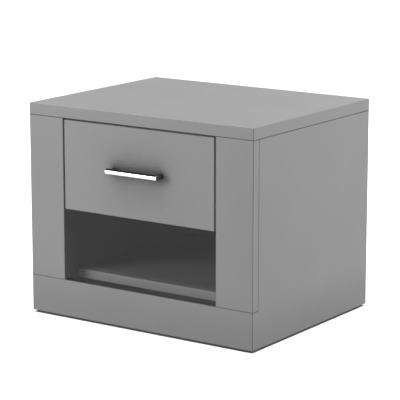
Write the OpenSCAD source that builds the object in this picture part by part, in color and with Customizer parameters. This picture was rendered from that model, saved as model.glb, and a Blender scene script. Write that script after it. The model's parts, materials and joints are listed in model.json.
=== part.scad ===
// Bedside cabinet: one inset drawer on roller runners above an open niche.
// Millimetres. -Y is the front, +X is to the right for a person who faces the front, +Z is up.
// The origin is on the floor, under the middle of the whole box, handle included.

/* [Cabinet] */
// Width over the side panels
cab_w = 500; // [460:1:600]
// Depth from the front face to the back edge
cab_d = 400; // [380:1:480]
// Height from the floor to the top surface
cab_h = 404; // [390:1:460]
// Height of the floor glides
glide_h = 4; // [2:0.5:8]

/* [Boards] */
// Thickness of the top panel
top_t = 22; // [18:1:30]
// Thickness of the cabinet boards
board_t = 18; // [16:1:19]
// Thickness of the hardboard back and drawer bottom
hdf_t = 3; // [3:0.1:3.6]
// Thickness of the drawer sides and back
drawer_board_t = 15; // [15:1:16]

/* [Front frame] */
// Width of each upright stile
stile_w = 79; // [70:1:90]
// Height of the plinth board
plinth_h = 70; // [60:1:80]

/* [Niche] */
// Height of the niche shelf's top surface above the plinth's top edge
shelf_step = 14.5; // [0:0.5:20]
// Distance of the shelf's front edge behind the front face
shelf_setback = 40; // [24:1:60]

/* [Drawer] */
// Height of the drawer front
drawer_front_h = 169; // [160:1:180]
// Gap at each side of the drawer front
side_gap = 3; // [1:0.1:4]
// Gap above the drawer front
top_gap = 2.5; // [1:0.1:4]
// Height of the drawer sides
drawer_side_h = 110; // [90:1:115]
// Length of the drawer sides and of the runners
runner_l = 350; // [300:10:350]
// Travel of the drawer
drawer_travel = 260; // [200:5:260]
// How far the drawer is pulled out
drawer_open = 0; // [0:5:260]

/* [Handle] */
// Length of the handle bar
bar_l = 115; // [100:1:160]
// Diameter of the handle bar
bar_d = 11; // [10:0.5:14]
// Distance of the bar's axis from the drawer front
bar_reach = 17; // [17:0.5:28]
// Diameter of the handle posts
post_d = 10; // [8:0.5:10]
// Height of the handle above the middle of the drawer front
handle_rise = 2; // [0:1:10]

/* [Hidden] */
$fn = 48;
eps = 0.01;                 // overshoot of a cutting tool past the face it opens
fit = 0.05;                 // radial clearance of a fastener in its hole

// Colours
laminate = [0.45, 0.45, 0.45];
hardboard = [0.40, 0.39, 0.38];
drawer_wrap = [0.72, 0.72, 0.71];
rail_enamel = [0.86, 0.86, 0.85];
nylon = [0.93, 0.93, 0.91];
zinc = [0.66, 0.67, 0.68];
beech = [0.78, 0.63, 0.44];
chrome = [0.85, 0.86, 0.88];
glide_plastic = [0.16, 0.16, 0.16];

// Cabinet planes
sides = [-1, 1];
half_w = cab_w / 2;
handle_out = bar_reach + bar_d / 2;
front_y = (handle_out - cab_d) / 2;
back_y = front_y + cab_d;
inner_y = front_y + board_t;            // back faces of the stiles, plinth and drawer front
top_z = cab_h - top_t;                  // underside of the top panel
plinth_top = glide_h + plinth_h;
wall_x = half_w - stile_w;              // inner face of each partition
partition_x = wall_x + board_t;         // outer face of each partition
side_in_x = half_w - board_t;           // inner face of each side panel
rebate = 4;                             // depth of the rebate that takes the back panel
rebate_w = 10;
rebate_lip = board_t - rebate_w;        // side panel left standing outside the rebate
back_face_y = back_y - rebate;          // rear edges of the inner boards
back_slack = 0.5;
back_foot = 4;                          // the back panel stops this far above the board feet

// Shelf and divider
shelf_top = plinth_top + shelf_step;
shelf_front_y = front_y + shelf_setback;
drawer_bay_h = 152;                     // drawer box, its runners and the room around them
divider_top = top_z - drawer_bay_h;
divider_setback = 2;
divider_front_y = inner_y + divider_setback;

// Drawer front
front_top = top_z - top_gap;
front_bottom = front_top - drawer_front_h;
front_half_w = wall_x - side_gap;

// Runner section: the cabinet rail stands on the partition, the drawer rail under the drawer side
runner_gap = 12.5;
rail_t = 1.2;
drawer_x = wall_x - runner_gap;         // outer face of each drawer side
drawer_in_x = drawer_x - drawer_board_t;
box_clearance = 14;                     // from the divider up to the drawer box
box_bottom = divider_top + box_clearance;
box_top = box_bottom + drawer_side_h;
box_back_y = inner_y + runner_l;
rail_setback = 2;
rail_front_y = inner_y + rail_setback;
rail_back_y = rail_front_y + runner_l;
channel_drop = 5.3;
channel_z = box_bottom - channel_drop;  // running surface of the cabinet rail
drawer_roller_r = 9;
cabinet_roller_r = 10;
roller_play = 0.3;
channel_play = 0.5;
channel_h = 2 * drawer_roller_r + roller_play + channel_play;
flange_rise = 18;
flange_z = box_bottom + flange_rise;    // underside of the drawer rail's flange
flange_w = 10.1;
lower_lip = 10;
upper_lip = 8;
roller_w = 6;
roller_side_play = 0.5;
rivet_r = 2.5;
rivet_head_r = 4;
rivet_head_t = 1;
rivet_play = 0.3;
running_fit = 0.05;
cabinet_roller_in = 15;                 // roller axis behind the rail's front end
drawer_roller_in = 10;                  // roller axis in front of the drawer's back
cabinet_roller_y = rail_front_y + cabinet_roller_in;
cabinet_roller_z = flange_z - roller_play - cabinet_roller_r;
drawer_roller_y = box_back_y - drawer_roller_in;
drawer_roller_z = channel_z + roller_play + drawer_roller_r;
upper_lip_in = 18;                      // the upper lip starts this far behind the cabinet roller
upper_lip_front_y = cabinet_roller_y + upper_lip_in;
roller_chamfer = 0.6;
cabinet_roller_x = wall_x - rail_t - roller_side_play - roller_w;   // inner end of the cabinet roller
drawer_roller_x = drawer_x + rail_t + roller_side_play;             // inner end of the drawer roller

// Drawer box
groove_rise = 8;
groove_z = box_bottom + groove_rise;
groove_d = 6;
groove_slack = 0.1;
back_panel_y = box_back_y - drawer_board_t;

// Fasteners
dowel_r = 4;
dowel_short = 12;                       // part of the dowel in a face
dowel_long = 22;                        // part of the dowel in an edge
dowel_chamfer = 1;
cam_r = 7.5;
cam_reach = 24;                         // cam centre from the joint
cam_t = 12.5;
drawer_cam_t = 11;
cam_slot = 1.4;
cam_slot_depth = 1.5;
cam_slot_l = 10;
cam_socket_r = 3.9;
cam_head_r = 3.5;
cam_head_l = 4;
cam_neck_r = 2.5;
cam_thread_r = 3;
cam_thread_l = 11;
nail_r = 0.8;
nail_l = 20;
nail_head_r = 2;
nail_head_t = 0.8;
glide_r = 8;
glide_nail_r = 1;
glide_nail_l = 16;
glide_nail_head_r = 2.5;
glide_nail_head_t = 1;
glide_recess = 1.6;
glide_recess_play = 1;
glide_edge = 1;
screw_r = 1.75;
screw_l = 13;
screw_head_r = 3.4;
screw_head_t = 1.2;
confirmat_r = 2.5;
confirmat_l = 45;
confirmat_head_r = 4;
confirmat_head_t = 3;
handle_screw_r = 2;
handle_hole_slack = 0.2;
handle_screw_head_r = 4;
handle_screw_head_t = 2.5;
handle_thread = 10;                     // length of the handle screw inside its post

// Places of the fasteners
upright_xs = [-half_w + board_t / 2, -wall_x - board_t / 2, wall_x + board_t / 2, half_w - board_t / 2];
mid_y = (inner_y + back_face_y) / 2;
cam_spread = 130;                       // cams before and behind the middle dowel
cam_ys = [mid_y - cam_spread, mid_y + cam_spread];
stile_dowel_in = 40;
stile_dowel_zs = [plinth_top + stile_dowel_in, top_z - stile_dowel_in];
plinth_dowel_low_in = 17;
plinth_dowel_high_in = 20;
plinth_dowel_zs = [glide_h + plinth_dowel_low_in, plinth_top - plinth_dowel_high_in];
glide_in = 26;                          // behind the plinth dowels
glide_ys = [inner_y + glide_in, back_face_y - glide_in];
side_nail_in = 40;                      // first and last nail from the ends of the side panel
side_nail_gaps = 4;
side_nail_pitch = (top_z - glide_h - 2 * side_nail_in) / side_nail_gaps;
side_nail_zs = [for (i = [0:side_nail_gaps]) glide_h + side_nail_in + i * side_nail_pitch];
cross_nail_xs = [-100, 0, 100];
rail_screw_in = 45;
rail_screw_ys = [rail_front_y + rail_screw_in, mid_y, rail_back_y - rail_screw_in];
drawer_cam_in = 26;
drawer_cam_zs = [box_bottom + drawer_cam_in, box_top - drawer_cam_in];
confirmat_low_in = 34;
confirmat_high_in = 24;
confirmat_zs = [box_bottom + confirmat_low_in, box_top - confirmat_high_in];
drawer_rail_screw_end = 40;
drawer_rail_screw_ys = [inner_y + drawer_rail_screw_end, inner_y + runner_l / 2,
                        box_back_y - drawer_rail_screw_end];
drawer_rail_screw_in = 5.5;             // clear of the groove for the drawer bottom
bottom_screw_xs = [-90, 0, 90];

// Handle
handle_z = (front_bottom + front_top) / 2 + handle_rise;
bar_y = front_y - bar_reach;
bar_chamfer = 0.8;
post_x = bar_l / 2 - bar_chamfer - post_d / 2;

// ---- Shapes ----

module block(lo, hi) translate(lo) cube([hi[0] - lo[0], hi[1] - lo[1], hi[2] - lo[2]]);

// A solid of revolution laid along +X, +Y or +Z from the current origin
module along(axis) {
    rotate(axis == "x" ? [0, 90, 0] : axis == "y" ? [-90, 0, 0] : [0, 0, 0]) children();
}

module chamfered_rod(r, l, c) {
    rotate_extrude() polygon([[0, 0], [r - c, 0], [r, c], [r, l - c], [r - c, l], [0, l]]);
}

// Headed fastener: its head stands above z = 0 and its shank runs down to -l
module headed(r, l, head_r, head_t, slack = 0) {
    translate([0, 0, -l - slack]) cylinder(r = r + slack, h = l + slack + eps);
    cylinder(r = head_r + slack, h = head_t + slack);
}

// Mirrored copy for the left side
module on_side(s) {
    if (s < 0) mirror([1, 0, 0]) children();
    else children();
}

// ---- Dowels ----

// A dowel across the plane z = 0: the short part above, the long part below
module dowel(below, above, slack) {
    translate([0, 0, -below - slack])
        if (slack > 0) cylinder(r = dowel_r + slack, h = below + above + 2 * slack);
        else chamfered_rod(dowel_r, below + above, dowel_chamfer);
}

module cabinet_dowel_set(slack = 0) {
    for (x = upright_xs) {
        translate([x, mid_y, top_z]) dowel(dowel_long, dowel_short, slack);
        for (z = stile_dowel_zs) translate([x, inner_y, z]) along("y") mirror([0, 0, 1])
            dowel(dowel_long, dowel_short, slack);
    }
    for (s = sides) {
        for (z = plinth_dowel_zs) translate([s * (wall_x + board_t / 2), inner_y, z])
            along("y") mirror([0, 0, 1]) dowel(dowel_long, dowel_short, slack);
        for (z = [plinth_top, top_z]) translate([s * (half_w - stile_w / 2), front_y + board_t / 2, z])
            dowel(dowel_short, dowel_short, slack);
        for (z = [shelf_top, divider_top]) on_side(s) translate([wall_x, mid_y, z - board_t / 2])
            along("x") dowel(dowel_long, dowel_short, slack);
    }
}

module drawer_dowel_set(slack = 0) {
    for (s = sides) translate([s * (drawer_x - drawer_board_t / 2), inner_y, (box_bottom + box_top) / 2])
        along("y") mirror([0, 0, 1]) dowel(dowel_long, dowel_short, slack);
}

// ---- Cam fittings: the joint plane is z = 0, the bolt screws upwards, the cam lies below ----

module cam_bolt() {
    cylinder(r = cam_thread_r, h = cam_thread_l);
    translate([0, 0, -cam_reach]) cylinder(r = cam_neck_r, h = cam_reach + eps);
    translate([0, 0, -cam_reach - cam_head_l / 2]) cylinder(r = cam_head_r, h = cam_head_l);
}

// The cam's open face looks along +X and lies at x = face
module cam_lock(face, thickness) {
    difference() {
        translate([face - thickness, 0, -cam_reach]) along("x") cylinder(r = cam_r, h = thickness);
        translate([0, 0, -cam_reach - cam_head_l]) cylinder(r = cam_socket_r, h = cam_reach);
        translate([face - cam_slot_depth, -cam_slot / 2, -cam_reach - cam_slot_l / 2])
            cube([cam_slot_depth + eps, cam_slot, cam_slot_l]);
        translate([face - cam_slot_depth, -cam_slot_l / 2, -cam_reach - cam_slot / 2])
            cube([cam_slot_depth + eps, cam_slot_l, cam_slot]);
    }
}

// Drillings for one cam fitting
module cam_holes(face, thickness) {
    cylinder(r = cam_thread_r + fit, h = cam_thread_l + fit);
    translate([0, 0, -cam_reach]) cylinder(r = cam_socket_r + fit, h = cam_reach + eps);
    translate([face - thickness - fit, 0, -cam_reach]) along("x")
        cylinder(r = cam_r + fit, h = thickness + fit + eps);
}

// Fittings between the uprights and the top: every cam faces the hidden space beside a partition
module at_top_cams() {
    for (s = sides, y = cam_ys) {
        on_side(s) translate([half_w - board_t / 2, y, top_z]) mirror([1, 0, 0]) children();
        on_side(s) translate([wall_x + board_t / 2, y, top_z]) children();
    }
}

// Fittings between the partitions and the two shelves: every cam faces down
module at_shelf_cams() {
    for (s = sides, y = cam_ys, z = [shelf_top, divider_top]) on_side(s)
        translate([wall_x, y, z - board_t / 2]) rotate([0, 90, 0]) children();
}

// Fittings between the drawer sides and the drawer front: every cam faces into the drawer
module at_drawer_cams() {
    for (s = sides, z = drawer_cam_zs) on_side(s)
        translate([drawer_x - drawer_board_t / 2, inner_y, z])
            rotate([90, 0, 0]) mirror([1, 0, 0]) children();
}

// ---- Nails, glides and screws ----

module back_nail(slack = 0) {
    rotate([-90, 0, 0]) headed(nail_r, nail_l, nail_head_r, nail_head_t, slack);
}

module back_nail_set(slack = 0) {
    back_y_out = back_face_y + hdf_t;
    for (s = sides, z = side_nail_zs) {
        translate([s * (side_in_x + rebate_w / 2), back_y_out, z]) back_nail(slack);
        translate([s * (wall_x + board_t / 2), back_y_out, z]) back_nail(slack);
    }
    for (x = cross_nail_xs, z = [shelf_top - board_t / 2, divider_top - board_t / 2, top_z + rebate_w / 2])
        translate([x, back_y_out, z]) back_nail(slack);
}

module at_glides() for (x = upright_xs, y = glide_ys) translate([x, y, 0]) children();

module glide_nail(slack = 0) {
    translate([0, 0, glide_recess]) mirror([0, 0, 1])
        headed(glide_nail_r, glide_nail_l, glide_nail_head_r, glide_nail_head_t, slack);
}

// Runner screws, driven outwards through the cabinet rail's web
module cabinet_rail_screw_set(slack = 0) {
    for (s = sides, y = rail_screw_ys) on_side(s) translate([wall_x - rail_t, y, drawer_roller_z])
        rotate([0, -90, 0]) headed(screw_r, screw_l, screw_head_r, screw_head_t, slack);
}

// Screws driven upwards through the drawer rail's leg into the drawer side
module drawer_rail_screw_set(slack = 0) {
    for (s = sides, y = drawer_rail_screw_ys)
        translate([s * (drawer_x - drawer_rail_screw_in), y, box_bottom - rail_t])
            mirror([0, 0, 1]) headed(screw_r, screw_l, screw_head_r, screw_head_t, slack);
}

// Long screws through the drawer sides into the drawer back, heads flush
module back_screw_set(slack = 0) {
    for (s = sides, z = confirmat_zs) on_side(s)
        translate([drawer_x - confirmat_head_t, back_panel_y + drawer_board_t / 2, z])
            rotate([0, 90, 0]) headed(confirmat_r, confirmat_l, confirmat_head_r, confirmat_head_t, slack);
}

module bottom_screw_set(slack = 0) {
    for (x = bottom_screw_xs) translate([x, back_panel_y + drawer_board_t / 2, groove_z])
        mirror([0, 0, 1]) headed(screw_r, screw_l, screw_head_r, screw_head_t, slack);
}

module handle_screw_set(r, slack = 0) {
    for (s = sides) translate([s * post_x, inner_y, handle_z]) rotate([-90, 0, 0])
        headed(r, board_t + handle_thread, handle_screw_head_r, handle_screw_head_t, slack);
}

// ---- Cabinet boards ----

module top_panel() {
    color(laminate) difference() {
        block([-half_w, front_y, top_z], [half_w, back_y, cab_h]);
        block([-half_w + rebate_lip, back_face_y, top_z - eps],
              [half_w - rebate_lip, back_y + eps, top_z + rebate_w]);
        cabinet_dowel_set(fit);
        at_top_cams() cam_holes(board_t / 2, cam_t);
        back_nail_set(fit);
    }
}

// The upper part stands behind the stile; the foot runs on to the front and meets the plinth in a mitre
module side_panel(s) {
    color(laminate) difference() {
        union() {
            on_side(s) block([side_in_x, inner_y, glide_h], [half_w, back_y, top_z]);
            on_side(s) translate([0, 0, glide_h]) linear_extrude(plinth_h)
                polygon([[half_w, front_y], [half_w, inner_y + eps], [side_in_x, inner_y + eps],
                         [side_in_x, inner_y]]);
        }
        on_side(s) block([side_in_x - eps, back_face_y, glide_h - eps],
                         [side_in_x + rebate_w, back_y + eps, top_z + eps]);
        cabinet_dowel_set(fit);
        at_top_cams() cam_holes(board_t / 2, cam_t);
        back_nail_set(fit);
        at_glides() glide_nail(fit);
    }
}

module partition(s) {
    color(laminate) difference() {
        on_side(s) block([wall_x, inner_y, glide_h], [partition_x, back_face_y, top_z]);
        cabinet_dowel_set(fit);
        at_top_cams() cam_holes(board_t / 2, cam_t);
        at_shelf_cams() cam_holes(board_t / 2, cam_t);
        back_nail_set(fit);
        at_glides() glide_nail(fit);
        cabinet_rail_screw_set(fit);
    }
}

module stile(s) {
    color(laminate) difference() {
        on_side(s) block([wall_x, front_y, plinth_top], [half_w, inner_y, top_z]);
        cabinet_dowel_set(fit);
    }
}

module plinth() {
    color(laminate) difference() {
        translate([0, 0, glide_h]) linear_extrude(plinth_h)
            polygon([[-half_w, front_y], [half_w, front_y], [side_in_x, inner_y], [-side_in_x, inner_y]]);
        cabinet_dowel_set(fit);
    }
}

module shelf_board(front, top) {
    color(laminate) difference() {
        block([-wall_x, front, top - board_t], [wall_x, back_face_y, top]);
        cabinet_dowel_set(fit);
        at_shelf_cams() cam_holes(board_t / 2, cam_t);
        back_nail_set(fit);
    }
}

module niche_shelf() shelf_board(shelf_front_y, shelf_top);

module drawer_divider() shelf_board(divider_front_y, divider_top);

module back_panel() {
    edge_x = side_in_x + rebate_w - back_slack;
    color(hardboard) difference() {
        block([-edge_x, back_face_y, glide_h + back_foot],
              [edge_x, back_face_y + hdf_t, top_z + rebate_w - back_slack]);
        back_nail_set(fit);
    }
}

// ---- Cabinet hardware ----

module back_panel_nails() color(zinc) back_nail_set();

module floor_glides() {
    color(glide_plastic) at_glides() difference() {
        rotate_extrude() polygon([[0, 0], [glide_r - glide_edge, 0], [glide_r, glide_edge],
                                  [glide_r, glide_h], [0, glide_h]]);
        translate([0, 0, -eps]) cylinder(r = glide_nail_head_r + glide_recess_play, h = glide_recess + eps);
        cylinder(r = glide_nail_r + fit, h = glide_h + eps);
    }
}

module glide_nails() color(zinc) at_glides() glide_nail();

module cabinet_dowels() color(beech) cabinet_dowel_set();

module top_cam_locks() color(zinc) at_top_cams() cam_lock(board_t / 2, cam_t);

module top_cam_bolts() color(zinc) at_top_cams() cam_bolt();

module shelf_cam_locks() color(zinc) at_shelf_cams() cam_lock(board_t / 2, cam_t);

module shelf_cam_bolts() color(zinc) at_shelf_cams() cam_bolt();

// Channel on the partition, with its roller at the front and a stop tab at the back
module cabinet_rail(s) {
    web_x = wall_x - rail_t;
    lip_top = channel_z + channel_h + rail_t;
    color(rail_enamel) on_side(s) difference() {
        union() {
            block([web_x, rail_front_y, channel_z - rail_t], [wall_x, rail_back_y, lip_top]);
            block([wall_x - lower_lip, rail_front_y, channel_z - rail_t],
                  [wall_x, rail_back_y, channel_z]);
            block([wall_x - upper_lip, upper_lip_front_y, channel_z + channel_h],
                  [wall_x, rail_back_y, lip_top]);
            block([wall_x - lower_lip, rail_back_y - rail_t, channel_z - rail_t],
                  [wall_x, rail_back_y, lip_top]);
        }
        translate([web_x - eps, cabinet_roller_y, cabinet_roller_z]) along("x")
            cylinder(r = rivet_r + fit, h = rail_t + 2 * eps);
        cabinet_rail_screw_set(fit);
    }
}

module cabinet_rail_screws() color(zinc) cabinet_rail_screw_set();

// Rivet along +X from its head; the shank passes the roller and the rail's web
module roller_rivet() {
    along("x") {
        cylinder(r = rivet_head_r, h = rivet_head_t);
        cylinder(r = rivet_r, h = rivet_head_t + rivet_play + roller_w + roller_side_play + rail_t);
    }
}

module roller(r) {
    along("x") difference() {
        chamfered_rod(r, roller_w, roller_chamfer);
        translate([0, 0, -eps]) cylinder(r = rivet_r + running_fit, h = roller_w + 2 * eps);
    }
}

module cabinet_roller_rivets() {
    color(zinc) for (s = sides) on_side(s)
        translate([cabinet_roller_x - rivet_play - rivet_head_t, cabinet_roller_y, cabinet_roller_z])
            roller_rivet();
}

module cabinet_roller(s) {
    color(nylon) on_side(s) translate([cabinet_roller_x, cabinet_roller_y, cabinet_roller_z])
        roller(cabinet_roller_r);
}

// ---- Drawer ----

module slid() translate([0, -min(drawer_open, drawer_travel), 0]) children();

module drawer_front() {
    color(laminate) slid() difference() {
        block([-front_half_w, front_y, front_bottom], [front_half_w, inner_y, front_top]);
        block([-drawer_in_x - groove_d, inner_y - groove_d, groove_z - groove_slack],
              [drawer_in_x + groove_d, inner_y + eps, groove_z + hdf_t + groove_slack]);
        drawer_dowel_set(fit);
        at_drawer_cams() cam_holes(drawer_board_t / 2, drawer_cam_t);
        handle_screw_set(handle_screw_r, handle_hole_slack);
    }
}

module drawer_side(s) {
    color(drawer_wrap) slid() difference() {
        on_side(s) block([drawer_in_x, inner_y, box_bottom], [drawer_x, box_back_y, box_top]);
        on_side(s) block([drawer_in_x - eps, inner_y - eps, groove_z - groove_slack],
                         [drawer_in_x + groove_d, box_back_y + eps, groove_z + hdf_t + groove_slack]);
        drawer_dowel_set(fit);
        at_drawer_cams() cam_holes(drawer_board_t / 2, drawer_cam_t);
        back_screw_set(fit);
        drawer_rail_screw_set(fit);
    }
}

module drawer_back() {
    color(drawer_wrap) slid() difference() {
        block([-drawer_in_x, back_panel_y, groove_z + hdf_t], [drawer_in_x, box_back_y, box_top]);
        back_screw_set(fit);
        bottom_screw_set(fit);
    }
}

module drawer_bottom() {
    edge_x = drawer_in_x + groove_d - back_slack;
    color(hardboard) slid() difference() {
        block([-edge_x, inner_y - groove_d + back_slack, groove_z], [edge_x, box_back_y, groove_z + hdf_t]);
        bottom_screw_set(fit);
    }
}

module drawer_dowels() color(beech) slid() drawer_dowel_set();

module drawer_cam_locks() color(zinc) slid() at_drawer_cams() cam_lock(drawer_board_t / 2, drawer_cam_t);

module drawer_cam_bolts() color(zinc) slid() at_drawer_cams() cam_bolt();

module drawer_back_screws() color(zinc) slid() back_screw_set();

module drawer_bottom_screws() color(zinc) slid() bottom_screw_set();

// Angle under the drawer side, with a flange that rides on the cabinet roller
module drawer_rail(s) {
    color(rail_enamel) slid() on_side(s) difference() {
        union() {
            block([drawer_in_x, inner_y, box_bottom - rail_t], [drawer_x + rail_t, box_back_y, box_bottom]);
            block([drawer_x, inner_y, box_bottom - rail_t],
                  [drawer_x + rail_t, box_back_y, flange_z + rail_t]);
            block([drawer_x, inner_y, flange_z], [drawer_x + flange_w, box_back_y, flange_z + rail_t]);
        }
        translate([drawer_x - eps, drawer_roller_y, drawer_roller_z]) along("x")
            cylinder(r = rivet_r + fit, h = rail_t + 2 * eps);
        drawer_rail_screw_set(fit);
    }
}

module drawer_rail_screws() color(zinc) slid() drawer_rail_screw_set();

module drawer_roller_rivets() {
    head_x = drawer_roller_x + roller_w + rivet_play + rivet_head_t;
    color(zinc) slid() for (s = sides) on_side(s)
        translate([head_x, drawer_roller_y, drawer_roller_z]) mirror([1, 0, 0]) roller_rivet();
}

module drawer_roller(s) {
    color(nylon) slid() on_side(s) translate([drawer_roller_x, drawer_roller_y, drawer_roller_z])
        roller(drawer_roller_r);
}

// ---- Handle ----

module handle_bar() {
    color(chrome) slid() translate([-bar_l / 2, bar_y, handle_z]) along("x")
        chamfered_rod(bar_d / 2, bar_l, bar_chamfer);
}

// The post's outer end is saddled to the bar; a screw from inside the drawer is tapped into it
module handle_post(s) {
    color(chrome) slid() difference() {
        translate([s * post_x, bar_y, handle_z]) along("y") cylinder(r = post_d / 2, h = bar_reach);
        translate([s * post_x - post_d, bar_y, handle_z]) along("x") cylinder(r = bar_d / 2, h = 2 * post_d);
        handle_screw_set(handle_screw_r, fit);
    }
}

module handle_screws() color(zinc) slid() handle_screw_set(handle_screw_r);

top_panel();
side_panel(-1);  // left_side_panel
side_panel(1);  // right_side_panel
partition(-1);  // left_partition
partition(1);  // right_partition
stile(-1);  // left_stile
stile(1);  // right_stile
plinth();
niche_shelf();
drawer_divider();
back_panel();
back_panel_nails();
floor_glides();
glide_nails();
cabinet_dowels();
top_cam_locks();
top_cam_bolts();
shelf_cam_locks();
shelf_cam_bolts();
cabinet_rail(-1);  // left_cabinet_rail
cabinet_rail(1);  // right_cabinet_rail
cabinet_rail_screws();
cabinet_roller_rivets();
cabinet_roller(-1);  // left_cabinet_roller
cabinet_roller(1);  // right_cabinet_roller
drawer_front();
drawer_side(-1);  // left_drawer_side
drawer_side(1);  // right_drawer_side
drawer_back();
drawer_bottom();
drawer_dowels();
drawer_cam_locks();
drawer_cam_bolts();
drawer_back_screws();
drawer_bottom_screws();
drawer_rail(-1);  // left_drawer_rail
drawer_rail(1);  // right_drawer_rail
drawer_rail_screws();
drawer_roller_rivets();
drawer_roller(-1);  // left_drawer_roller
drawer_roller(1);  // right_drawer_roller
handle_bar();
handle_post(-1);  // left_handle_post
handle_post(1);  // right_handle_post
handle_screws();
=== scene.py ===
"""Looks of a grey bedside cabinet: boards, drawer, runners, fittings and handle, with studio and camera.

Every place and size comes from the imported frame. Metres; -Y is the front, +Z is up.
"""

import json
import math

import bmesh
import bpy
from mathutils import Matrix, Vector


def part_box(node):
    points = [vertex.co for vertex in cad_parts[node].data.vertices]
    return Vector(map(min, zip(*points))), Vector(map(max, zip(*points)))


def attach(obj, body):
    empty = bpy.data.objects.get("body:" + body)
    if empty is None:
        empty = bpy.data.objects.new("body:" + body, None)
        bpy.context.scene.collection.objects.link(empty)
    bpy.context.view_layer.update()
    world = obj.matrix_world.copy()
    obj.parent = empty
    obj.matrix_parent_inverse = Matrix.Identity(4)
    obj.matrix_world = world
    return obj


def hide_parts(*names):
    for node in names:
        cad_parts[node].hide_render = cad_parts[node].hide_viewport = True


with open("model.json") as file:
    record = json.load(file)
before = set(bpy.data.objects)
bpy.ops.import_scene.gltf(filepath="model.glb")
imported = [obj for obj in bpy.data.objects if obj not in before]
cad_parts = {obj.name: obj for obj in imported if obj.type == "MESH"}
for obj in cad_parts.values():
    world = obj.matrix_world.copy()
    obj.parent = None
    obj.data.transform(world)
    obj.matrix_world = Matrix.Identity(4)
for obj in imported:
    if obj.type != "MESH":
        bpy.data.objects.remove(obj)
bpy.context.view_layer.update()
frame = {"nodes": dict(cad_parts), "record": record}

MM = 0.001
X, Y, Z = Vector((1, 0, 0)), Vector((0, 1, 0)), Vector((0, 0, 1))
TOP_LO, TOP_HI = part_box("top_panel")
BODY_OF = {n: b for b, ns in frame["record"]["behaviour"]["bodies"].items() for n in ns}


# ---------------------------------------------------------------- materials

MIX_COLOUR_INPUTS, MIX_COLOUR_OUTPUT = (0, 6, 7), 2     # a Mix node's factor and two colours, and its result
OPENNESS_SAMPLES = 8
# Painted shade: where nearby surfaces crowd a board or the chrome, its colour is darkened; the reaches say
# how far to look.
BOARD_REACH, BOARD_CROWDED = 100 * MM, 0.71             # crowded: the openness at which a recess is darkest
CHROME_REACH, CHROME_CROWDED, CHROME_OPEN = 200 * MM, 0.86, 0.93


class Surface:
    """A procedural material under construction: its node tree, its shader and object coordinates."""

    def __init__(self, name, **shader_values):
        self.material = bpy.data.materials.new(name)
        self.material.use_nodes = True
        self.tree = self.material.node_tree
        self.shader = self.tree.nodes["Principled BSDF"]
        self.place = self.node("ShaderNodeTexCoord").outputs["Object"]
        for socket, value in shader_values.items():
            self.shader.inputs[socket.replace("_", " ")].default_value = value

    def node(self, kind, inputs=None, **settings):
        made = self.tree.nodes.new(kind)
        for key, value in settings.items():
            setattr(made, key, value)
        for key, value in (inputs or {}).items():
            if isinstance(value, bpy.types.NodeSocket):
                self.tree.links.new(value, made.inputs[key])
            else:
                made.inputs[key].default_value = value
        return made

    def stretched(self, scale):
        """Object coordinates scaled by a different amount along each axis."""
        return self.node("ShaderNodeMapping", {"Vector": self.place, "Scale": scale}).outputs["Vector"]

    def noise(self, size, detail=2.0, roughness=0.5, at=None, distortion=0.0):
        """Noise whose features are about size metres wide, 0 to 1."""
        inputs = {
            "Vector": at or self.place,
            "Scale": 1 / size,
            "Detail": detail,
            "Roughness": roughness,
            "Distortion": distortion,
        }
        return self.node("ShaderNodeTexNoise", inputs).outputs["Fac"]

    def cells(self, size, output, at):
        """Random cells about size metres wide: their Color, or the Distance from their middles."""
        return self.node("ShaderNodeTexVoronoi", {"Vector": at, "Scale": 1 / size}).outputs[output]

    def ramp(self, value, *stops):
        """Colour ramp through (position, colour) stops; a single number is a grey."""
        ramp = self.node("ShaderNodeValToRGB", {"Fac": value})
        elements = ramp.color_ramp.elements
        while len(elements) < len(stops):
            elements.new(0.5)
        for element, (position, colour) in zip(elements, stops):
            element.position = position
            element.color = (*grey(colour), 1)
        return ramp.outputs["Color"]

    def span(self, value, low, high, from_low=0.0, from_high=1.0):
        """Value moved from one range to another."""
        inputs = {"Value": value, "To Min": low, "To Max": high, "From Min": from_low, "From Max": from_high}
        return self.node("ShaderNodeMapRange", inputs).outputs["Result"]

    def blend(self, factor, first, second, mode="MIX"):
        """Mix of two colours. Each is a socket or red, green, blue and alpha; the factor may be a number."""
        mixer = self.node("ShaderNodeMix", data_type="RGBA", blend_type=mode)
        for index, value in zip(MIX_COLOUR_INPUTS, (factor, first, second)):
            if isinstance(value, bpy.types.NodeSocket):
                self.tree.links.new(value, mixer.inputs[index])
            else:
                mixer.inputs[index].default_value = value
        return mixer.outputs[MIX_COLOUR_OUTPUT]

    def bump(self, height, depth, strength=1.0, over=None):
        """Bump from a 0 to 1 height that stands depth metres high."""
        inputs = {"Height": height, "Distance": depth, "Strength": strength}
        if over:
            inputs["Normal"] = over
        return self.node("ShaderNodeBump", inputs).outputs["Normal"]

    def openness(self, reach):
        """1 on an open surface, less where other surfaces within reach crowd it."""
        inputs = {"Distance": reach}
        return self.node("ShaderNodeAmbientOcclusion", inputs, samples=OPENNESS_SAMPLES).outputs["AO"]

    def finish(self, colour, roughness, normal=None):
        """Joins the finished sockets to the shader."""
        for name, socket in (("Base Color", colour), ("Roughness", roughness), ("Normal", normal)):
            if socket:
                self.tree.links.new(socket, self.shader.inputs[name])
        return self.material


def grey(value):
    """A colour as it is, or a single number as a grey."""
    return (value, value, value) if isinstance(value, (int, float)) else tuple(value)


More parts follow.
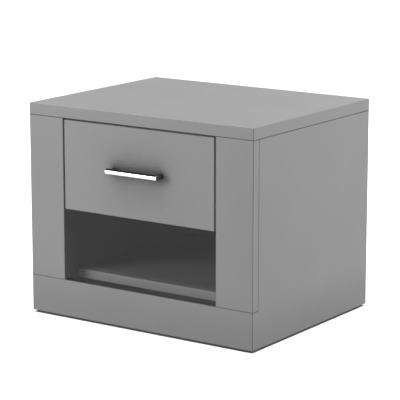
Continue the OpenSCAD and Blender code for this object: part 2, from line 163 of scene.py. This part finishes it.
def laminate(name, tone, gloss=0.46, painted_shade_tone=1.0):
    """Plain melamine face: faint clouding, fine pearl grain, slightly uneven sheen, and painted shade in
    recesses.
    """
    s = Surface(name, Specular_IOR_Level=0.35)
    clouds = s.noise(0.11, detail=3)
    grain = s.noise(0.0009, detail=2, roughness=0.6)
    base = s.ramp(clouds, (0.3, tone * 0.975), (0.7, tone * 1.02))
    speckle = s.ramp(grain, (0.25, 0.93), (0.75, 1.06))
    colour = s.blend(1.0, base, speckle, "MULTIPLY")
    # painted shade: the colour darkens where nearby surfaces crowd the face
    if painted_shade_tone < 1:
        painted_darkening = s.ramp(s.openness(BOARD_REACH), (BOARD_CROWDED, painted_shade_tone), (1.0, 1.0))
        colour = s.blend(1.0, colour, painted_darkening, "MULTIPLY")
    roughness = s.span(s.noise(0.03, detail=4), gloss - 0.05, gloss + 0.07)
    pearl = s.bump(s.noise(0.0012, detail=1), 0.03 * MM, 0.35)
    normal = s.bump(s.noise(0.02, detail=1), 0.02 * MM, 0.4, over=pearl)
    return s.finish(colour, roughness, normal)


def edge_band(name, tone):
    """Rounded arris of the ABS edging, smoother than the faces and darker: on the cabinet's boards much
    darker, painted shade along the arrises and joints.
    """
    s = Surface(name, Specular_IOR_Level=0.4)
    rubbed = s.noise(0.012, detail=3)
    colour = s.ramp(rubbed, (0.35, tone * 0.9), (0.7, tone * 1.1))
    roughness = s.span(s.noise(0.004, detail=2), 0.34, 0.5)
    return s.finish(colour, roughness, s.bump(s.noise(0.0015), 0.02 * MM, 0.3))


def chipboard():
    """Raw chipboard where a board's hidden edge has no edging."""
    s = Surface("chipboard", Specular_IOR_Level=0.15)
    flat, chip = s.stretched((1.0, 1.0, 1.6)), 2.8 * MM
    chips = s.node("ShaderNodeSeparateColor", {"Color": s.cells(chip, "Color", flat)}).outputs["Red"]
    dust = s.noise(0.0006, detail=3, roughness=0.7)
    wood = s.ramp(chips, (0.0, (0.20, 0.12, 0.06)), (0.5, (0.42, 0.29, 0.16)), (1.0, (0.60, 0.46, 0.29)))
    colour = s.blend(0.35, wood, s.ramp(dust, (0.3, (0.14, 0.09, 0.05)), (0.7, (0.62, 0.5, 0.34))))
    gaps = s.cells(chip, "Distance", flat)
    return s.finish(colour, s.span(dust, 0.78, 0.96), s.bump(gaps, 0.25 * MM, 0.7))


def hardboard_back():
    """Unlacquered rear face of the hardboard: pressed brown fibre."""
    s = Surface("hardboard_rear", Specular_IOR_Level=0.25)
    fibre = s.noise(0.002, detail=6, roughness=0.75, at=s.stretched((1.0, 1.0, 0.35)), distortion=0.6)
    blotch = s.noise(0.09, detail=3)
    base = s.ramp(fibre, (0.25, (0.150, 0.088, 0.045)), (0.75, (0.300, 0.190, 0.105)))
    colour = s.blend(1.0, base, s.ramp(blotch, (0.3, 0.88), (0.7, 1.08)), "MULTIPLY")
    return s.finish(colour, s.span(fibre, 0.55, 0.8), s.bump(fibre, 0.08 * MM, 0.5))


def foil(name, tone):
    """Paper-foil wrap of the drawer box, with a faint linen emboss."""
    s = Surface(name, Specular_IOR_Level=0.3)
    threads = s.blend(
        0.5,
        s.noise(0.0007, detail=1, at=s.stretched((1.0, 1.0, 0.12))),
        s.noise(0.0007, detail=1, at=s.stretched((0.12, 0.12, 1.0))),
    )
    clouds = s.noise(0.08, detail=3)
    base = s.ramp(clouds, (0.3, tone * 0.96), (0.7, tone * 1.03))
    colour = s.blend(1.0, base, s.ramp(threads, (0.3, 0.94), (0.7, 1.05)), "MULTIPLY")
    return s.finish(colour, s.span(clouds, 0.5, 0.62), s.bump(threads, 0.04 * MM, 0.5))


def plated_steel():
    """Bright zinc plating: fine spangle and soft tarnish."""
    s = Surface("zinc_plate", Metallic=1.0)
    spangle = s.noise(0.0015, detail=4, roughness=0.65)
    tarnish = s.noise(0.008, detail=3)
    base = s.ramp(spangle, (0.3, (0.42, 0.43, 0.45)), (0.7, (0.63, 0.64, 0.66)))
    colour = s.blend(s.span(tarnish, 0.0, 0.35, 0.45, 0.7), base, (0.40, 0.38, 0.33, 1))
    return s.finish(colour, s.span(spangle, 0.28, 0.46), s.bump(spangle, 0.02 * MM, 0.4))


def rail_enamel():
    """Epoxy powder coat on the runners' steel strip: orange peel and faint rub marks along the travel."""
    s = Surface("rail_enamel", Specular_IOR_Level=0.5)
    rub = s.noise(0.0012, detail=3, at=s.stretched((1.0, 0.02, 1.0)))
    peel = s.noise(0.0011, detail=2)
    colour = s.ramp(rub, (0.35, (0.56, 0.56, 0.55)), (0.65, (0.66, 0.66, 0.65)))
    return s.finish(colour, s.span(rub, 0.3, 0.46), s.bump(peel, 0.05 * MM, 0.5))


def moulded(name, dark, light, smooth, rough):
    """Moulded plastic with a fine spark-eroded grain."""
    s = Surface(name, Specular_IOR_Level=0.45)
    texture = s.noise(0.0009, detail=2)
    flow = s.noise(0.01, detail=2)
    colour = s.ramp(flow, (0.3, dark), (0.7, light))
    return s.finish(colour, s.span(texture, smooth, rough), s.bump(texture, 0.03 * MM, 0.5))


def beech():
    """Beech of the dowels: fine pores and broader rays."""
    s = Surface("beech", Specular_IOR_Level=0.3)
    pores = s.noise(0.0008, detail=3, at=s.stretched((1.0, 1.0, 0.3)))
    rays = s.noise(0.004, detail=2)
    base = s.ramp(pores, (0.3, (0.40, 0.25, 0.13)), (0.7, (0.62, 0.44, 0.26)))
    colour = s.blend(1.0, base, s.ramp(rays, (0.3, 0.9), (0.7, 1.06)), "MULTIPLY")
    return s.finish(colour, s.span(pores, 0.5, 0.7), s.bump(pores, 0.06 * MM, 0.5))


def chrome(name, painted_shade_tone):
    """Polished chrome plating with a trace of handling haze, and painted shade that darkens it where the
    drawer crowds it.
    """
    s = Surface(name, Metallic=1.0)
    haze = s.noise(0.012, detail=4, roughness=0.6)
    polish = s.noise(0.0006, detail=2, at=s.stretched((0.04, 1.0, 1.0)))
    plate = s.ramp(haze, (0.3, (0.80, 0.81, 0.82)), (0.7, (0.86, 0.865, 0.87)))
    # painted shade: the plate's colour, and so its reflection, darkens near the drawer
    painted_darkening = s.ramp(s.openness(CHROME_REACH), (CHROME_CROWDED, painted_shade_tone), (CHROME_OPEN, 1.0))
    colour = s.blend(1.0, plate, painted_darkening, "MULTIPLY")
    return s.finish(colour, s.span(haze, 0.035, 0.10), s.bump(polish, 0.004 * MM, 0.25))


BOARD_TONE = 0.26
# boards: mild painted shade in their recesses and corners
LAMINATE = laminate("grey_laminate", BOARD_TONE, painted_shade_tone=0.84)
# drawer front: deep painted shadow round the handle and along its gaps
FRONT = laminate("drawer_laminate_painted_shadow", BOARD_TONE, painted_shade_tone=0.14)
# edging much darker than the boards: painted shade along arrises and joints
EDGE = edge_band("grey_edge_band_painted_shade", BOARD_TONE * 0.38)
# darker copy of the laminate: painted shade in the niche and the drawer bay
INNER = laminate("interior_laminate_painted_shade", 0.165)
# near-black copy: painted shadow on the plinth's top
LEDGE = laminate("plinth_ledge_painted_shadow", 0.038)
# brighter copy with strong painted shade: painted light and shade on the shelf's front edge
SHELF_EDGE = laminate("shelf_edge_painted_light_shade", 0.47, painted_shade_tone=0.40)
CHIPBOARD = chipboard()
HARDBOARD_FRONT = laminate("hardboard_front", 0.155, gloss=0.56)
HARDBOARD_REAR = hardboard_back()
FOIL = foil("drawer_foil", 0.30)
FOIL_EDGE = edge_band("drawer_foil_edge", 0.24)
ZINC = plated_steel()
ENAMEL = rail_enamel()
NYLON = moulded("white_nylon", (0.70, 0.70, 0.66), (0.80, 0.80, 0.77), 0.36, 0.52)
GLIDE = moulded("black_glide", 0.018, 0.034, 0.42, 0.6)
BEECH = beech()
# the two chromes differ only in how deep their painted shade gets
CHROME = chrome("chrome_plate_painted_shade", 0.04)
CHROME_FITTING = chrome("chrome_fitting_painted_shade", 0.32)


# ---------------------------------------------------------------- mesh tools

WELD = 0.002 * MM                    # split vertices lie closer than this
FLAT = math.radians(0.2)             # faces that bend less than this are one flat face
SHARP = math.radians(30)             # an edge that bends more than this is an arris
CREASE = math.radians(35)            # shading stays crisp over an edge that bends more than this
ALONG_AN_AXIS = 0.99999
FACING = 0.9                         # a normal this near a direction looks in that direction
ON_AXIS = 1e-7                       # a profile point nearer the axis than this lies on it
EDGE_SLOT = 1                        # material slot of rounded arrises on every eased piece


def joined_up(node):
    """A node's CAD mesh as a fresh bmesh, its split vertices joined."""
    bm = bmesh.new()
    bm.from_mesh(frame["nodes"][node].data)
    bmesh.ops.remove_doubles(bm, verts=bm.verts, dist=WELD)
    return bm


def welded(node):
    """A node's CAD mesh as a fresh bmesh, its split vertices joined and flat faces merged."""
    bm = joined_up(node)
    bmesh.ops.dissolve_limit(bm, angle_limit=FLAT, verts=bm.verts, edges=bm.edges)
    bmesh.ops.recalc_face_normals(bm, faces=bm.faces)
    return bm


def as_mesh(bm, name):
    """The bmesh as a mesh; the bmesh is freed."""
    mesh = bpy.data.meshes.new(name)
    bm.to_mesh(mesh)
    bm.free()
    return mesh


def islands(node):
    """Lowest and highest corner of each separate solid in a node."""
    bm = joined_up(node)
    found, seen = [], set()
    for start in bm.verts:
        if start in seen:
            continue
        stack, members = [start], []
        seen.add(start)
        while stack:
            v = stack.pop()
            members.append(v.co.copy())
            for e in v.link_edges:
                w = e.other_vert(v)
                if w not in seen:
                    seen.add(w)
                    stack.append(w)
        found.append([Vector(f(c[i] for c in members) for i in range(3)) for f in (min, max)])
    bm.free()
    return found


def shade(mesh):
    """Smooth shading that stays crisp over sharp edges."""
    mesh.polygons.foreach_set("use_smooth", [True] * len(mesh.polygons))
    mesh.set_sharp_from_angle(angle=CREASE)


def show(name, mesh, node, materials):
    """Adds a finished mesh as a piece that rides on the node's body and stands for the node."""
    for material in materials:
        mesh.materials.append(material)
    piece = bpy.data.objects.new(name, mesh)
    bpy.context.scene.collection.objects.link(piece)
    shade(mesh)
    level = piece.modifiers.new("level_normals", "WEIGHTED_NORMAL")
    level.keep_sharp = True
    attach(piece, BODY_OF[node])
    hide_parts(node)


def is_arris(edge, shortest):
    """True on a straight outer edge along X, Y or Z, and not on the rim of a drilled hole."""
    if len(edge.link_faces) != 2 or edge.calc_length() < shortest or not edge.is_convex:
        return False
    along = (edge.verts[0].co - edge.verts[1].co).normalized()
    return max(abs(c) for c in along) > ALONG_AN_AXIS and edge.calc_face_angle() > SHARP


def eased(node, radius, segments=3, shortest=3 * MM):
    """The node's mesh with its arrises rounded; the rounded strips get the edge slot."""
    bm = welded(node)
    arrises = [e for e in bm.edges if is_arris(e, shortest)]
    strips = bmesh.ops.bevel(bm, geom=arrises, offset=radius, offset_type="OFFSET", segments=segments,
                             profile=0.5, affect="EDGES", clamp_overlap=False)["faces"]
    for face in strips:
        face.material_index = EDGE_SLOT
    return as_mesh(bm, node)


def paint(mesh, index, chosen):
    """Gives a material slot to each flat face for which chosen(normal, centre) is true."""
    for p in mesh.polygons:
        if p.material_index == 0 and chosen(p.normal, p.center):
            p.material_index = index


def lathe(profile, segments=48, closed=False):
    """Mesh of (radius, height) points turned about Z; a closed profile makes a ring."""
    bm = bmesh.new()
    rings = []
    for r, h in profile:
        if r < ON_AXIS:
            rings.append([bm.verts.new((0, 0, h))])
        else:
            angles = [2 * math.pi * i / segments for i in range(segments)]
            rings.append([bm.verts.new((r * math.cos(a), r * math.sin(a), h)) for a in angles])
    pairs = list(zip(rings, rings[1:])) + ([(rings[-1], rings[0])] if closed else [])
    for a, b in pairs:
        for i in range(segments):
            j = (i + 1) % segments
            corners = [a[i % len(a)], a[j % len(a)], b[j % len(b)], b[i % len(b)]]
            bm.faces.new(list(dict.fromkeys(corners)))
    bmesh.ops.recalc_face_normals(bm, faces=bm.faces)
    return as_mesh(bm, "turned")


def arc(centre_r, centre_h, radius, start, end, steps=4):
    """Points of a round on a lathe profile, angles in degrees from +r towards +h."""
    turn = [math.radians(start + (end - start) * i / steps) for i in range(steps + 1)]
    return [(centre_r + radius * math.cos(a), centre_h + radius * math.sin(a)) for a in turn]


def prism(outline, low, high):
    """Closed prism on an outline in the XY plane."""
    bm = bmesh.new()
    foot = [bm.verts.new((x, y, low)) for x, y in outline]
    head = [bm.verts.new((x, y, high)) for x, y in outline]
    bm.faces.new(foot[::-1])
    bm.faces.new(head)
    for i in range(len(outline)):
        j = (i + 1) % len(outline)
        bm.faces.new([foot[i], foot[j], head[j], head[i]])
    return as_mesh(bm, "prism")


def cut(mesh, tool):
    """The mesh with the tool's volume taken away."""
    body = bpy.data.objects.new("cut_body", mesh)
    cutter = bpy.data.objects.new("cut_tool", tool)
    for o in (body, cutter):
        bpy.context.scene.collection.objects.link(o)
    step = body.modifiers.new("cut", "BOOLEAN")
    step.operation, step.solver, step.object = "DIFFERENCE", "EXACT", cutter
    result = bpy.data.meshes.new_from_object(body.evaluated_get(bpy.context.evaluated_depsgraph_get()))
    for o in (body, cutter):
        bpy.data.objects.remove(o)
    return result


def joined(name, part, places):
    """One mesh of the same part at every place."""
    bm = bmesh.new()
    for place in places:
        copy = part.copy()
        copy.transform(place)
        bm.from_mesh(copy)
        bpy.data.meshes.remove(copy)
    return as_mesh(bm, name)


def seats(node, outward):
    """For each solid of a node, the matrix that puts a part's head at its outer end, facing outward."""
    for lo, hi in islands(node):
        centre, half = (lo + hi) / 2, (hi - lo) / 2
        out = outward(centre)
        tip = centre + out * half.dot(Vector(abs(c) for c in out))
        yield Matrix.Translation(tip) @ out.to_track_quat("Z", "Y").to_matrix().to_4x4()


def away(centre):
    """Sideways, away from the cabinet's middle."""
    return X if centre.x > 0 else -X


def inward(centre):
    """Sideways, towards the cabinet's middle."""
    return -away(centre)


# ---------------------------------------------------------------- boards

FACES = [LAMINATE, EDGE, CHIPBOARD, INNER, LEDGE, FRONT, SHELF_EDGE]
BOARD_SLOT, RAW_SLOT, INNER_SLOT, LEDGE_SLOT, FRONT_SLOT, SHELF_EDGE_SLOT = 0, 2, 3, 4, 5, 6
HARDBOARD_SLOTS, REAR_SLOT = [HARDBOARD_FRONT, HARDBOARD_REAR, HARDBOARD_REAR], 2

BOARD_ROUND, HARDBOARD_ROUND, BOX_ROUND = 0.9 * MM, 0.3 * MM, 0.6 * MM
BACK_EDGE_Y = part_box("left_partition")[1].y
FOOT_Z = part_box("plinth")[0].z
NEARBY = 1 * MM

CABINET_BOARDS = ["top_panel", "left_side_panel", "right_side_panel", "left_partition", "right_partition",
                  "left_stile", "right_stile", "plinth", "niche_shelf", "drawer_divider", "drawer_front"]

# Faces that line the niche and the drawer bay, by the direction they look in; they take darker copies of the
# laminate, painted shade.
INNER_FACES = {"niche_shelf": Z, "drawer_divider": -Z, "left_partition": X, "right_partition": -X,
               "left_stile": X, "right_stile": -X, "plinth": Z}


def is_raw(normal, centre):
    """Rear edges and feet of the cabinet's boards have no edging."""
    rear = normal.y > FACING and centre.y > BACK_EDGE_Y - NEARBY
    foot = normal.z < -FACING and centre.z < FOOT_Z + NEARBY
    return rear or foot


def faces_front(normal, centre):
    return normal.y < -FACING


def cabinet_boards():
    """Laminated boards of the cabinet, and the drawer front."""
    for node in CABINET_BOARDS:
        mesh = eased(node, BOARD_ROUND)
        # the drawer front's face takes the copy with painted shadow round the handle
        if node == "drawer_front":
            paint(mesh, FRONT_SLOT, faces_front)
        else:
            paint(mesh, RAW_SLOT, is_raw)
        # linings of the niche and the drawer bay take darker copies: painted shade; the plinth's top a
        # near-black one, painted shadow
        if node in INNER_FACES:
            lining = LEDGE_SLOT if node == "plinth" else INNER_SLOT
            paint(mesh, lining, lambda normal, centre: normal.dot(INNER_FACES[node]) > FACING)
        # the shelf's front edge takes the copy with painted light and shade
        if node == "niche_shelf":
            paint(mesh, SHELF_EDGE_SLOT, faces_front)
        # the top's upper face and arrises keep the board's colour, so its top edges get no painted edge
        # shade
        if node == "top_panel":
            for p in mesh.polygons:
                if p.center.z > TOP_HI.z - BOARD_ROUND:
                    p.material_index = BOARD_SLOT
        show(node + "_board", mesh, node, FACES)


def hardboards():
    """Back panel and drawer bottom, lacquered on the side that shows inside."""
    for node, rear in (("back_panel", Y), ("drawer_bottom", -Z)):
        mesh = eased(node, HARDBOARD_ROUND, 2)
        paint(mesh, REAR_SLOT, lambda normal, centre: normal.dot(rear) > FACING)
        show(node + "_board", mesh, node, HARDBOARD_SLOTS)


def drawer_box():
    """Foil-wrapped sides and back of the drawer."""
    for node in ("left_drawer_side", "right_drawer_side", "drawer_back"):
        show(node + "_board", eased(node, BOX_ROUND), node, [FOIL, FOIL_EDGE])


# ---------------------------------------------------------------- handle

BAR_ROUND, POST_ROUND = 1.1 * MM, 0.4 * MM
POST_SHORTFALL = 0.3                 # a post stops this share of the bar's radius before the bar's axis
QUARTER = math.pi / 2


def handle():
    """Polished bar with rounded ends, on two turned posts."""
    lo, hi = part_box("handle_bar")
    radius, half, axis = (hi.z - lo.z) / 2, (hi.x - lo.x) / 2, (lo + hi) / 2
    start = arc(radius - BAR_ROUND, -half + BAR_ROUND, BAR_ROUND, -90, 0, 6)
    end = arc(radius - BAR_ROUND, half - BAR_ROUND, BAR_ROUND, 0, 90, 6)
    bar = lathe([(0, -half), *start, *end, (0, half)], 96)
    bar.transform(Matrix.Translation(axis) @ Matrix.Rotation(QUARTER, 4, "Y"))
    # the bar's round side takes the chrome with the deepest painted shade, its ends and the posts the
    # lighter one
    for face in bar.polygons:
        face.material_index = int(abs(face.normal.x) > FACING)
    show("handle_bar_polished", bar, "handle_bar", [CHROME, CHROME_FITTING])
    for node in ("left_handle_post", "right_handle_post"):
        lo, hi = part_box(node)
        post_r, foot_y, middle = (hi.x - lo.x) / 2, hi.y, (lo + hi) / 2
        reach = foot_y - axis.y - radius * POST_SHORTFALL
        foot = arc(post_r - POST_ROUND, POST_ROUND, POST_ROUND, -90, 0)
        post = lathe([(0, 0), *foot, (post_r, reach), (0, reach)], 64)
        post.transform(Matrix.Translation((middle.x, foot_y, middle.z)) @ Matrix.Rotation(QUARTER, 4, "X"))
        show(node + "_polished", post, node, [CHROME_FITTING])


# ---------------------------------------------------------------- runners

RAIL_ROUND, RAIL_SHORTEST = 0.35 * MM, 1 * MM
ROLLER_BORE = 2.55 * MM
RIM_SHARE = 0.82                     # inner radius of a roller's rim, as a share of its radius
HUB_WALL = 1.6 * MM
DISH, DISH_SLOPE = 1.3 * MM, 0.2 * MM
CROWN = 0.35 * MM
RIBS, RIB_T = 6, 0.8 * MM
RIB_INSET, RIB_BITE = 0.15 * MM, 0.3 * MM


def rails():
    """Enamelled steel strips of the runners."""
    for node in ("left_cabinet_rail", "right_cabinet_rail", "left_drawer_rail", "right_drawer_rail"):
        strip = eased(node, RAIL_ROUND, 2, shortest=RAIL_SHORTEST)
        show(node + "_strip", strip, node, [ENAMEL, ENAMEL])


def roller_mesh(radius, width):
    """Nylon roller with a crowned tread, a dished face on each side and ribs in the dish."""
    rim, hub = radius * RIM_SHARE, ROLLER_BORE + HUB_WALL
    edge, shoulder = radius - CROWN, 2 * CROWN
    tread = [(edge, 0), (radius, shoulder), (radius, width - shoulder), (edge, width)]
    near = [(ROLLER_BORE, 0), (hub, 0), (hub + DISH_SLOPE, DISH), (rim - DISH_SLOPE, DISH), (rim, 0)]
    far = [(r, width - h) for r, h in reversed(near)]
    ring = lathe([*near, *tread, *far], 72, closed=True)
    bm = bmesh.new()
    bm.from_mesh(ring)
    inner, outer, side = hub - RIB_BITE, rim + RIB_BITE, RIB_T / 2
    for low in (RIB_INSET, width - DISH - RIB_INSET):
        rib = prism([(inner, -side), (outer, -side), (outer, side), (inner, side)], low, low + DISH)
        for i in range(RIBS):
            copy = rib.copy()
            copy.transform(Matrix.Rotation(2 * math.pi * i / RIBS, 4, "Z"))
            bm.from_mesh(copy)
    return as_mesh(bm, "roller")


def rollers():
    """The four rollers, each on its axis along X."""
    for node in ("left_cabinet_roller", "right_cabinet_roller", "left_drawer_roller", "right_drawer_roller"):
        lo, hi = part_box(node)
        centre = (lo + hi) / 2
        mesh = roller_mesh((hi.z - lo.z) / 2, hi.x - lo.x)
        mesh.transform(Matrix.Translation((lo.x, centre.y, centre.z)) @ Matrix.Rotation(QUARTER, 4, "Y"))
        show(node + "_nylon", mesh, node, [NYLON])


# ---------------------------------------------------------------- fasteners

AXIS_X, AXIS_Y, AXIS_Z = range(3)

# Shank radius and head height of each turned fastener.
SCREW, HANDLE_SCREW = (1.75 * MM, 1.2 * MM), (2.0 * MM, 2.5 * MM)
RIVET, PANEL_NAIL, GLIDE_NAIL = (2.5 * MM, 1.0 * MM), (0.8 * MM, 0.8 * MM), (1.0 * MM, 1.0 * MM)
CONFIRMAT = (2.5 * MM, 3 * MM)

HEAD_RIM = 0.1 * MM                  # a domed head's edge drops this much below the dome
CROSS_W = 0.9 * MM
CROSS_REACH, CROSS_DEPTH = 0.58, 0.75    # shares of the head's radius and height
SOCKET_R, SOCKET_DEPTH = 2.3 * MM, 2.2 * MM
TOOL_CLEAR = 1 * MM                  # a cutting tool stands this far out of the head

GLIDE_SOLE_ROUND, GLIDE_SOCKET_R, GLIDE_SOCKET_DEPTH = 1.2 * MM, 3.5 * MM, 1.6 * MM
GLIDE_BORE, GLIDE_LIP = 1.05 * MM, 0.15 * MM


def headed(head_r, head_t, shank_r, length, dome=0.35):
    """Turned fastener: its head's crown is at z = 0, its shank runs down to -length."""
    rise = head_t * dome
    crown = [(0, 0), (head_r * 0.45, -rise * 0.18), (head_r * 0.8, -rise * 0.6), (head_r, -rise - HEAD_RIM)]
    skirt = [(head_r, -head_t), (shank_r, -head_t), (shank_r, -length + shank_r), (shank_r * 0.25, -length)]
    return lathe([*crown, *skirt, (0, -length)], 40)


def crossed(part, head_r, head_t):
    """Cross recess in a screw head."""
    a, b = head_r * CROSS_REACH, CROSS_W / 2
    plus = [(a, -b), (a, b), (b, b), (b, a), (-b, a), (-b, b),
            (-a, b), (-a, -b), (-b, -b), (-b, -a), (b, -a), (b, -b)]
    return cut(part, prism(plus, -head_t * CROSS_DEPTH, TOOL_CLEAR))


def size_of(node, along):
    """Length of a node's solids along an axis, and their widest radius across it."""
    lo, hi = islands(node)[0]
    size = hi - lo
    across = [size[i] for i in range(3) if i != along]
    return size[along], max(across) / 2


def screw_set(node, along, outward, shank_r, head_t, recess=True):
    """A node's screws, rivets or nails, each with its head towards outward(centre)."""
    length, head_r = size_of(node, along)
    part = headed(head_r, head_t, shank_r, length)
    if recess:
        part = crossed(part, head_r, head_t)
    show(node + "_turned", joined(node, part, seats(node, outward)), node, [ZINC])


def confirmats():
    """Long furniture screws with flat heads and a hexagon socket."""
    node = "drawer_back_screws"
    length, head_r = size_of(node, AXIS_X)
    shank_r, head_t = CONFIRMAT
    part = headed(head_r, head_t, shank_r, length, dome=0.05)
    corners = [a * math.pi / 3 for a in range(6)]
    hexagon = [(SOCKET_R * math.cos(a), SOCKET_R * math.sin(a)) for a in corners]
    part = cut(part, prism(hexagon, -SOCKET_DEPTH, TOOL_CLEAR))
    show(node + "_turned", joined(node, part, seats(node, away)), node, [ZINC])


def fasteners():
    """Screws, rivets and nails."""
    screw_set("cabinet_rail_screws", AXIS_X, inward, *SCREW)
    screw_set("drawer_rail_screws", AXIS_Z, lambda c: -Z, *SCREW)
    screw_set("drawer_bottom_screws", AXIS_Z, lambda c: -Z, *SCREW)
    screw_set("handle_screws", AXIS_Y, lambda c: Y, *HANDLE_SCREW)
    screw_set("cabinet_roller_rivets", AXIS_X, inward, *RIVET, recess=False)
    screw_set("drawer_roller_rivets", AXIS_X, away, *RIVET, recess=False)
    screw_set("back_panel_nails", AXIS_Y, lambda c: Y, *PANEL_NAIL, recess=False)
    screw_set("glide_nails", AXIS_Z, lambda c: -Z, *GLIDE_NAIL, recess=False)
    confirmats()


def cam_locks():
    """Cam housings on their CAD shape."""
    for node in ("top_cam_locks", "shelf_cam_locks", "drawer_cam_locks"):
        show(node + "_cast", as_mesh(welded(node), node), node, [ZINC])


def glides():
    """Nail-on floor glides with a rounded sole and a sunk nail."""
    solids = islands("floor_glides")
    lo, hi = solids[0]
    radius, height = (hi.x - lo.x) / 2, hi.z - lo.z
    sole = arc(radius - GLIDE_SOLE_ROUND, GLIDE_SOLE_ROUND, GLIDE_SOLE_ROUND, -90, 0, 5)
    socket = [(GLIDE_BORE, GLIDE_SOCKET_DEPTH), (GLIDE_SOCKET_R, GLIDE_SOCKET_DEPTH),
              (GLIDE_SOCKET_R, GLIDE_LIP), (GLIDE_SOCKET_R + GLIDE_LIP, 0)]
    part = lathe([*socket, *sole, (radius, height), (GLIDE_BORE, height)], 48, closed=True)
    places = [Matrix.Translation(((a.x + b.x) / 2, (a.y + b.y) / 2, a.z)) for a, b in solids]
    show("floor_glides_moulded", joined("floor_glides", part, places), "floor_glides", [GLIDE])


def hidden_fittings():
    """Dowels and cam bolts lie inside the boards; they keep their CAD shape."""
    for node, material in (("cabinet_dowels", BEECH), ("drawer_dowels", BEECH), ("top_cam_bolts", ZINC),
                           ("shelf_cam_bolts", ZINC), ("drawer_cam_bolts", ZINC)):
        slots = frame["nodes"][node].data.materials
        slots.clear()
        slots.append(material)


# ---------------------------------------------------------------- studio

FLOOR_REACH = 30.0
# painted shadow: the dark patch of floor under the cabinet, seen through the gap under the boards
PAINTED_SHADOW_INSET = 1.5 * MM           # the dark part of the floor ends this far inside the cabinet's outline
SKY_STRENGTH = 0.07
FILL_ENERGY, FILL_SPREAD = 0.64, 1

# Softboxes that face the cabinet's middle: place, width, height and power.
SOFTBOXES = {
    "front_softbox": ((-1.8, -2.7, 1.05), 1.65, 1.8, 69),
    "side_softbox": ((1.6, 0.45, 1.0), 1.2, 1.2, 21),
    "left_softbox": ((-2.2, 0.1, 1.2), 1.2, 1.2, 20),
    "back_softbox": ((-0.3, 2.5, 0.5), 0.8, 0.8, 34),
}
FILLS = {"front_fill": Y, "side_fill": -X, "top_fill": -Z}

AZIMUTH, ELEVATION, DISTANCE = math.radians(34.72), math.radians(11.98), 3.635
AIM = Vector((-0.002, 0.01265, 0.2123))
SENSOR_MM, LENS_MM = 36, 172.1
CLIP_START, CLIP_END = 0.05, 200


def pale_floor(name, tone, glow):
    """Pale paper; where it glows it is a light table, so the cabinet leaves next to no shadow."""
    s = Surface(name, Specular_IOR_Level=0.1, Emission_Color=(1, 1, 1, 1), Emission_Strength=glow)
    paper = s.noise(0.5, detail=2)
    return s.finish(s.ramp(paper, (0.3, tone), (0.7, tone * 1.02)), s.span(paper, 0.85, 0.9))


def lamp(name, light, place, towards):
    """Hangs a light at a place, looking in a direction."""
    holder = bpy.data.objects.new(name, light)
    holder.location = place
    holder.rotation_euler = Vector(towards).to_track_quat("-Z", "Y").to_euler()
    bpy.context.scene.collection.objects.link(holder)


def softbox(name, place, aim, width, height, power):
    """Rectangular area light that faces a point."""
    light = bpy.data.lights.new(name, "AREA")
    light.shape, light.size, light.size_y, light.energy = "RECTANGLE", width, height, power
    lamp(name, light, place, Vector(aim) - Vector(place))


def dome(name, towards, energy, spread, shadows=True):
    """Distant light that comes from a disc spread degrees wide."""
    light = bpy.data.lights.new(name, "SUN")
    light.energy, light.angle, light.use_shadow = energy, math.radians(spread), shadows
    lamp(name, light, (0, 0, 3), towards)


def floor_plane():
    """Floor that glows, apart from a dark patch under the cabinet: a painted shadow."""
    x, y0, y1 = TOP_HI.x - PAINTED_SHADOW_INSET, TOP_LO.y + PAINTED_SHADOW_INSET, TOP_HI.y - PAINTED_SHADOW_INSET
    r = FLOOR_REACH
    outer = [(-r, -r, 0), (r, -r, 0), (r, r, 0), (-r, r, 0)]
    inner = [(-x, y0, 0), (x, y0, 0), (x, y1, 0), (-x, y1, 0)]
    rim = [(i, (i + 1) % 4, 4 + (i + 1) % 4, 4 + i) for i in range(4)]
    mesh = bpy.data.meshes.new("studio_floor")
    mesh.from_pydata(outer + inner, [], [*rim, (4, 5, 6, 7)])
    mesh.materials.append(pale_floor("studio_floor", 0.62, 0.4))
    # painted shadow under the cabinet: dark paper that glows only faintly
    mesh.materials.append(pale_floor("studio_floor_painted_shadow", 0.05, 0.045))
    mesh.polygons[-1].material_index = 1
    floor = bpy.data.objects.new("studio_floor", mesh)
    floor.visible_diffuse = False
    bpy.context.scene.collection.objects.link(floor)


def studio():
    """Pale floor, faint sky, a broad overhead light, four softboxes and three weak fills."""
    floor_plane()
    world = bpy.data.worlds.new("studio_sky")
    world.use_nodes = True
    sky = world.node_tree.nodes["Background"]
    sky.inputs["Color"].default_value = (1, 1, 1, 1)
    sky.inputs["Strength"].default_value = SKY_STRENGTH
    bpy.context.scene.world = world
    dome("overhead_dome", (0.06, 0.06, -1), 3.0, 55)
    for name, (place, width, height, power) in SOFTBOXES.items():
        softbox(name, place, (0, 0, TOP_HI.z / 2), width, height, power)
    for name, towards in FILLS.items():
        dome(name, towards, FILL_ENERGY, FILL_SPREAD, shadows=False)
    bpy.context.scene.view_settings.view_transform = "Standard"


def photographer():
    """Long lens from the right of the front, looking a little down."""
    level = math.cos(ELEVATION)
    back = Vector((math.sin(AZIMUTH) * level, -math.cos(AZIMUTH) * level, math.sin(ELEVATION)))
    data = bpy.data.cameras.new("photograph_camera")
    data.sensor_width, data.lens = SENSOR_MM, LENS_MM
    data.clip_start, data.clip_end = CLIP_START, CLIP_END
    camera = bpy.data.objects.new("photograph_camera", data)
    camera.location = AIM + back * DISTANCE
    camera.rotation_euler = (-back).to_track_quat("-Z", "Y").to_euler()
    bpy.context.scene.collection.objects.link(camera)
    bpy.context.scene.camera = camera


cabinet_boards()
hardboards()
drawer_box()
handle()
rails()
rollers()
fasteners()
cam_locks()
glides()
hidden_fittings()
studio()
photographer()
